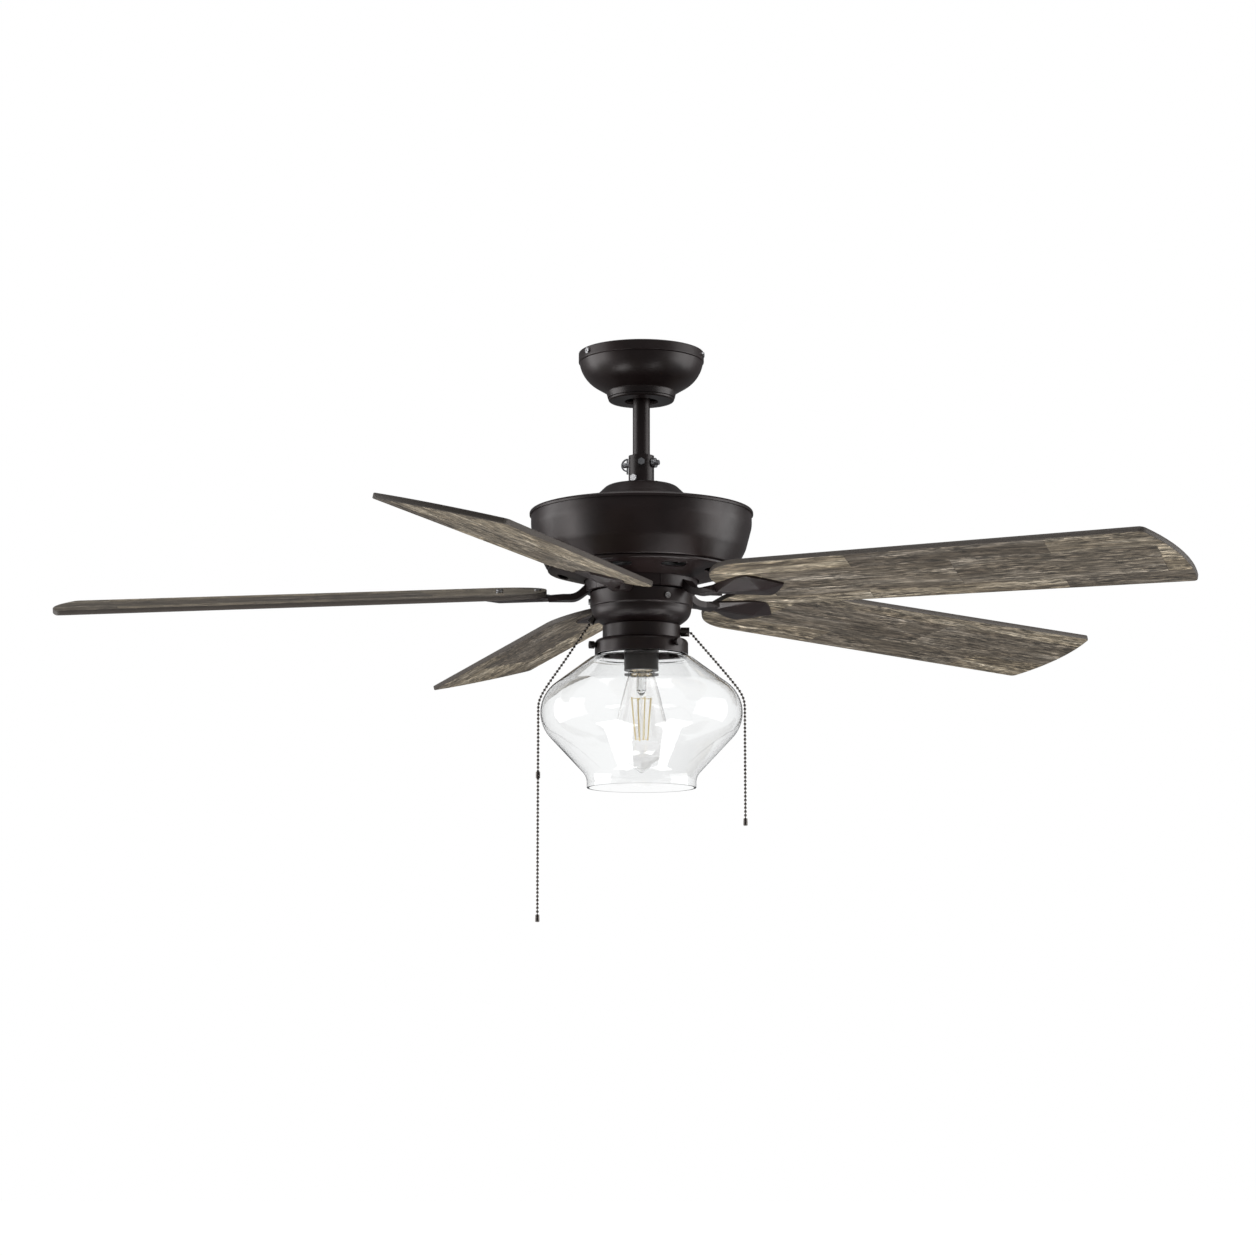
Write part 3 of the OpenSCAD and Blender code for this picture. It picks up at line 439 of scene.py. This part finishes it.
def plank_layout(nodes, links, raw):
    """Strips along the blade, each cut into planks: a number for each plank, and where its seams lie."""
    split = nodes.new("ShaderNodeSeparateXYZ")
    links.new(raw, split.inputs[0])
    u, v = split.outputs["X"], split.outputs["Y"]
    wobble = noise(nodes, links, position(nodes, links, (0.012, 0.0, 0), uv="blade"), 1, 1)
    across = math_node(nodes, links, "ADD", v, math_node(nodes, links, "MULTIPLY", wobble, 9.0))
    strips = math_node(nodes, links, "DIVIDE", across, STRIP_W)
    row = math_node(nodes, links, "FLOOR", strips)
    skewed = math_node(nodes, links, "ADD", u, math_node(nodes, links, "MULTIPLY", v, 0.25))
    stagger = math_node(nodes, links, "MULTIPLY", row, PLANK_STAGGER)
    planks = math_node(nodes, links, "DIVIDE", math_node(nodes, links, "ADD", skewed, stagger), PLANK_L)
    cell = nodes.new("ShaderNodeCombineXYZ")
    links.new(math_node(nodes, links, "FLOOR", planks), cell.inputs[0])
    links.new(row, cell.inputs[1])
    plank = nodes.new("ShaderNodeTexWhiteNoise")
    plank.noise_dimensions = "3D"
    links.new(cell.outputs[0], plank.inputs["Vector"])
    seams = []
    for count, width, line in ((planks, PLANK_L, 0.7), (strips, STRIP_W, 0.5)):
        past = math_node(nodes, links, "MULTIPLY", math_node(nodes, links, "FRACT", count), width)
        seams.append(math_node(nodes, links, "LESS_THAN", past, line))
    return plank, math_node(nodes, links, "MAXIMUM", *seams)


def weathered_planks(name):
    """Printed planks: two strips along the blade, butted end to end, each with its own tone,
    speckled grain along it and a few dark cracks. UV is millimetres along and across."""
    material, nodes, links, shader = new_material(name)
    raw = position(nodes, links, uv="blade")
    plank, seam = plank_layout(nodes, links, raw)
    # Grain coordinates, shifted for each plank so that no grain runs on over a seam
    shift = nodes.new("ShaderNodeVectorMath")
    shift.operation = "SCALE"
    links.new(plank.outputs["Color"], shift.inputs[0])
    shift.inputs["Scale"].default_value = 900
    moved = nodes.new("ShaderNodeVectorMath")
    moved.operation = "ADD"
    links.new(raw, moved.inputs[0])
    links.new(shift.outputs[0], moved.inputs[1])

    def grain(along, across, detail, roughness, distortion):
        """Noise with so many features to a millimetre along and across the blade."""
        mapping = nodes.new("ShaderNodeMapping")
        mapping.inputs["Scale"].default_value = (along, across, 1)
        links.new(moved.outputs[0], mapping.inputs["Vector"])
        return noise(nodes, links, mapping.outputs["Vector"], 1, detail, roughness, distortion)

    def darken(wood, layer, stops, share):
        """Multiply the wood by the greys of one layer."""
        tones = ramp(nodes, links, layer, [(at, grey(v)) for at, v in stops])
        return mix(nodes, links, wood, tones, share, "MULTIPLY")

    broad = grain(0.007, 0.060, 5, 0.62, 0.8)
    streaks = grain(0.016, 0.20, 5, 0.66, 0.9)
    speckle = grain(0.065, 0.36, 3, 0.65, 0.4)
    patch = grain(0.016, 0.045, 2, 0.5, 0.5)
    fine = grain(0.035, 0.8, 5, 0.7, 0.3)
    cracks = grain(0.014, 0.13, 8, 0.72, 1.6)
    wood = ramp(nodes, links, broad, [(0.32, (0.078, 0.062, 0.045)), (0.45, (0.140, 0.116, 0.086)),
                                      (0.56, (0.205, 0.176, 0.137)), (0.68, (0.330, 0.294, 0.243))])
    wood = darken(wood, streaks, [(0.38, 0.42), (0.47, 0.85), (0.55, 1.08), (0.66, 1.60)], 0.9)
    speckled = ramp(nodes, links, patch, [(0.40, grey(0.30)), (0.60, grey(1.0))])
    wood = darken(wood, speckle, [(0.40, 0.26), (0.47, 0.68), (0.53, 1.08), (0.62, 2.2)], speckled)
    wood = darken(wood, fine, [(0.38, 0.50), (0.52, 1.0), (0.64, 1.45)], 0.8)
    wood = darken(wood, cracks, [(0.34, 0.22), (0.43, 1.0)], 0.85)
    tone = ramp(nodes, links, plank.outputs["Value"], [(0.0, (0.60, 0.58, 0.58)), (0.5, (0.98, 0.96, 0.93)),
                                                       (1.0, (1.62, 1.58, 1.46))])
    wood = mix(nodes, links, wood, tone, 1.0, "MULTIPLY")
    wood = mix(nodes, links, wood, (0.035, 0.028, 0.022), math_node(nodes, links, "MULTIPLY", seam, 0.55))
    links.new(wood, shader.inputs["Base Color"])
    links.new(ramp(nodes, links, fine, [(0.3, grey(0.62)), (0.7, grey(0.48))]), shader.inputs["Roughness"])
    height = math_node(nodes, links, "ADD", math_node(nodes, links, "MULTIPLY", fine, 0.6),
                       math_node(nodes, links, "MULTIPLY", cracks, 0.8))
    bump(nodes, links, height, 0.35, 0.0006, shader)
    return material


def edge_stain(name):
    """The stained, sanded edge of a blade, with the board's layers showing faintly."""
    material, nodes, links, shader = new_material(name)
    layers = noise(nodes, links, position(nodes, links, (0.05, 2.2, 1), uv="blade"), 1.0, 4, 0.6)
    links.new(ramp(nodes, links, layers, [(0.3, (0.045, 0.037, 0.031)), (0.7, (0.100, 0.084, 0.071))]),
              shader.inputs["Base Color"])
    shader.inputs["Roughness"].default_value = 0.6
    bump(nodes, links, layers, 0.2, 0.0003, shader)
    return material


def glowing_phosphor(name):
    """The yellow coating of a lamp's filaments, faintly lit."""
    material, nodes, links, shader = new_material(name)
    cloud = noise(nodes, links, position(nodes, links), 800, 3)
    links.new(ramp(nodes, links, cloud, [(0.3, (0.72, 0.56, 0.24)), (0.7, (0.86, 0.72, 0.38))]),
              shader.inputs["Base Color"])
    shader.inputs["Roughness"].default_value = 0.5
    shader.inputs["Emission Color"].default_value = (1.0, 0.82, 0.42, 1)
    shader.inputs["Emission Strength"].default_value = 0.25
    return material


MATERIALS = {
    "bronze": painted_bronze("bronze"),
    "chain_bronze": bare_metal("chain bronze", (0.11, 0.098, 0.090), 0.26, 0.9),
    "plated_steel": bare_metal("plated steel", (0.20, 0.20, 0.21), 0.42),
    "bright_steel": bare_metal("bright steel", (0.46, 0.46, 0.47), 0.28),
    "lamination": bare_metal("steel laminations", (0.20, 0.20, 0.21), 0.5, 1.0, (1, 1, 12)),
    "copper": bare_metal("copper windings", (0.62, 0.25, 0.11), 0.35, 0.9, (1, 1, 8)),
    "cast_aluminium": bare_metal("cast aluminium", (0.42, 0.42, 0.43), 0.5),
    "cream_plastic": plastic("cream plastic", (0.62, 0.58, 0.48), 0.5),
    "black_plastic": plastic("black plastic", (0.022, 0.022, 0.024), 0.45),
    "socket_plastic": plastic("socket plastic", (0.022, 0.017, 0.015), 0.38),
    "brass_shell": bare_metal("brass shell", (0.70, 0.53, 0.25), 0.25),
    "bulb_glass": clear_glass("bulb glass", (0.98, 0.977, 0.975), 1.6),
    "clear_glass": clear_glass("clear glass", (0.985, 0.99, 0.99), 1.50),
    "filament": glowing_phosphor("filament phosphor"),
    "weathered_wood": weathered_planks("weathered planks"),
}
BLADE_EDGE = edge_stain("blade edge")


def dress_cad_nodes():
    """Every CAD part in the material of its slot."""
    for row in frame["record"]["subparts"]:
        mesh = NODES[row["node"]].data
        mesh.materials.clear()
        mesh.materials.append(MATERIALS[row["material_slot"]])


# ---- Pull chains ----

def smooth_route(points, step=1.5):
    """A curve through the points, as points about one step apart."""
    p = [np.array(q, float) for q in points]
    p = [2 * p[0] - p[1]] + p + [2 * p[-1] - p[-2]]
    out = []
    for a, b, c, d in zip(p, p[1:], p[2:], p[3:]):
        knots = [0.0]
        for q, r in ((a, b), (b, c), (c, d)):
            knots.append(knots[-1] + np.linalg.norm(r - q) ** 0.5)
        n = max(2, int(np.linalg.norm(c - b) / step))
        for i in range(n):
            t = knots[1] + (knots[2] - knots[1]) * i / n

            def line(x, y, i0, i1):
                return ((knots[i1] - t) * x + (t - knots[i0]) * y) / (knots[i1] - knots[i0])

            a1, a2, a3 = line(a, b, 0, 1), line(b, c, 1, 2), line(c, d, 2, 3)
            out.append(line(line(a1, a2, 0, 2), line(a2, a3, 1, 3), 1, 2))
    out.append(p[-2])
    return out


def pull_chain(name, sign, route, body):
    """One bead chain along a route in the plane y = 0, given as radius and height from the switch housing."""
    path = smooth_route([(sign * r, 0, SWITCH_TOP + h) for r, h in route])
    steps = [float(np.linalg.norm(b - a)) for a, b in zip(path, path[1:])]
    reach = np.concatenate([[0], np.cumsum(steps)])
    length = float(reach[-1])

    def at(s):
        return np.array([np.interp(s, reach, [q[k] for q in path]) for k in range(3)])

    count = int(length // BEAD_PITCH)
    shape = Shape()
    for i in range(count + 1):
        s = i * length / count
        along = at(min(s + 1, length)) - at(max(s - 1, 0))
        shape.sphere(at(s), BEAD_R, along, 1.05)
    spine = [at(length * i / (2 * count)) for i in range(2 * count + 1)]
    shape.rod(spine, 0.5, 6)
    chain = add_mesh(name, shape.verts, shape.faces, None, "chain_bronze")
    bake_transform(chain)
    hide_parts(body + "_upper", body + "_lower")


# ---- Blades ----

def blade_half_outline():
    """One side of a blade, from its rounded root to the middle of its bulged tip."""
    corner_x = BLADE_SPAN / 2 - BLADE_BULGE
    width = lambda x: (BLADE_ROOT_W + (BLADE_TIP_W - BLADE_ROOT_W) * (x - BLADE_ROOT_R)
                       / (corner_x - BLADE_ROOT_R)) / 2
    full, tip = width(BLADE_ROOT_R + BLADE_ROOT_ROUND), width(corner_x)
    root = [(BLADE_ROOT_R + BLADE_ROOT_ROUND * (1 - math.cos(a)),
             BLADE_ROOT_FLAT + (full - BLADE_ROOT_FLAT) * math.sin(a))
            for a in np.radians(np.linspace(0, 90, 25))]
    end_r = (tip * tip + BLADE_BULGE ** 2) / (2 * BLADE_BULGE)
    end_angle = math.asin(tip / end_r)
    centre = BLADE_SPAN / 2 - end_r
    bulge = [(centre + end_r * math.cos(end_angle * k), end_r * math.sin(end_angle * k))
             for k in np.linspace(0.9, 0, 16)]
    rounding = arc_corner(root[-1], (corner_x, tip), bulge[0], BLADE_TIP_ROUND, 15)
    return root + [tuple(q) for q in rounding] + bulge


def blade_mesh():
    """Vertices and faces of a flat blade with eased edges."""
    half = blade_half_outline()
    points = np.array(half + [(x, -y) for x, y in reversed(half) if y > 1e-6])
    n = len(points)
    tangent = np.roll(points, -1, 0) - np.roll(points, 1, 0)
    tangent /= np.linalg.norm(tangent, axis=1)[:, None]
    inward = np.stack([tangent[:, 1], -tangent[:, 0]], 1)
    verts = []
    half_t = BLADE_T / 2
    middle = BLADE_EASE * 0.3
    for inset, z in ((BLADE_EASE, -half_t), (middle, middle - half_t), (0, BLADE_EASE - half_t),
                     (0, half_t - BLADE_EASE), (middle, half_t - middle), (BLADE_EASE, half_t)):
        verts += [(x, y, z) for x, y in points + inward * inset]
    top = len(verts) - n
    faces = [(r + k, r + (k + 1) % n, r + n + (k + 1) % n, r + n + k)
             for r in range(0, top, n) for k in range(n)]
    return verts, faces + [tuple(range(n)), tuple(top + k for k in reversed(range(n)))]


def lay_planks(mesh, i):
    """Flat faces get planks and the rest the edge's stain; each blade has its own part of the pattern."""
    uv = mesh.uv_layers.new(name="blade")
    slip = (1370.0 * i + 40, 310.0 * i)
    for poly in mesh.polygons:
        flat = abs(poly.normal.z) > 0.98
        poly.use_smooth = not flat
        poly.material_index = 0 if flat else 1
        under = 500.0 if poly.normal.z < 0 else 0.0
        for li in poly.loop_indices:
            x, y, z = mesh.vertices[mesh.loops[li].vertex_index].co / MM
            uv.data[li].uv = (x + slip[0], (y if flat else z * 3) + slip[1] + under)


def make_blade(i):
    verts, faces = blade_mesh()
    blade = add_mesh(f"plank_blade_{i + 1}", verts, faces, None, "weathered_wood")
    mesh = blade.data
    mesh.materials.append(BLADE_EDGE)
    lay_planks(mesh, i)
    turn = (Matrix.Rotation(math.radians(BLADE_START + 360 / BLADES * i), 4, "Z")
            @ Matrix.Translation((0, 0, BLADE_PLANE_Z * MM))
            @ Matrix.Rotation(math.radians(BLADE_DROOP), 4, "Y")
            @ Matrix.Rotation(math.radians(-BLADE_PITCH), 4, "X"))
    mesh.transform(turn)
    mesh.update()
    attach(blade, "rotor")
    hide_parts(f"blade_{i + 1}")


# ---- Smooth turned shells ----

def make_shells():
    """The big curved shells, along the CAD's outlines but with finer arcs."""
    spun_shell("smooth_shade", "glass_shade", "fan_frame", "clear_glass", SHADE_OUTLINE, 2.5)
    spun_shell("smooth_bulb", "bulb_glass", "fan_frame", "bulb_glass", BULB_OUTLINE, 1.0, 96)
    spun_shell("smooth_canopy", "canopy", "ceiling_mount", "bronze", CANOPY_OUTLINE, 1.2)
    spun_shell("smooth_housing", "motor_housing", "fan_frame", "bronze", HOUSING_OUTLINE, 1.5)


make_camera()
pull_chain("fan_bead_chain", -1, FAN_CHAIN, "fan_chain")
pull_chain("light_bead_chain", 1, LIGHT_CHAIN, "light_chain")
make_light()
make_world()
make_floor()
dress_cad_nodes()
make_shells()
for index in range(BLADES):
    make_blade(index)
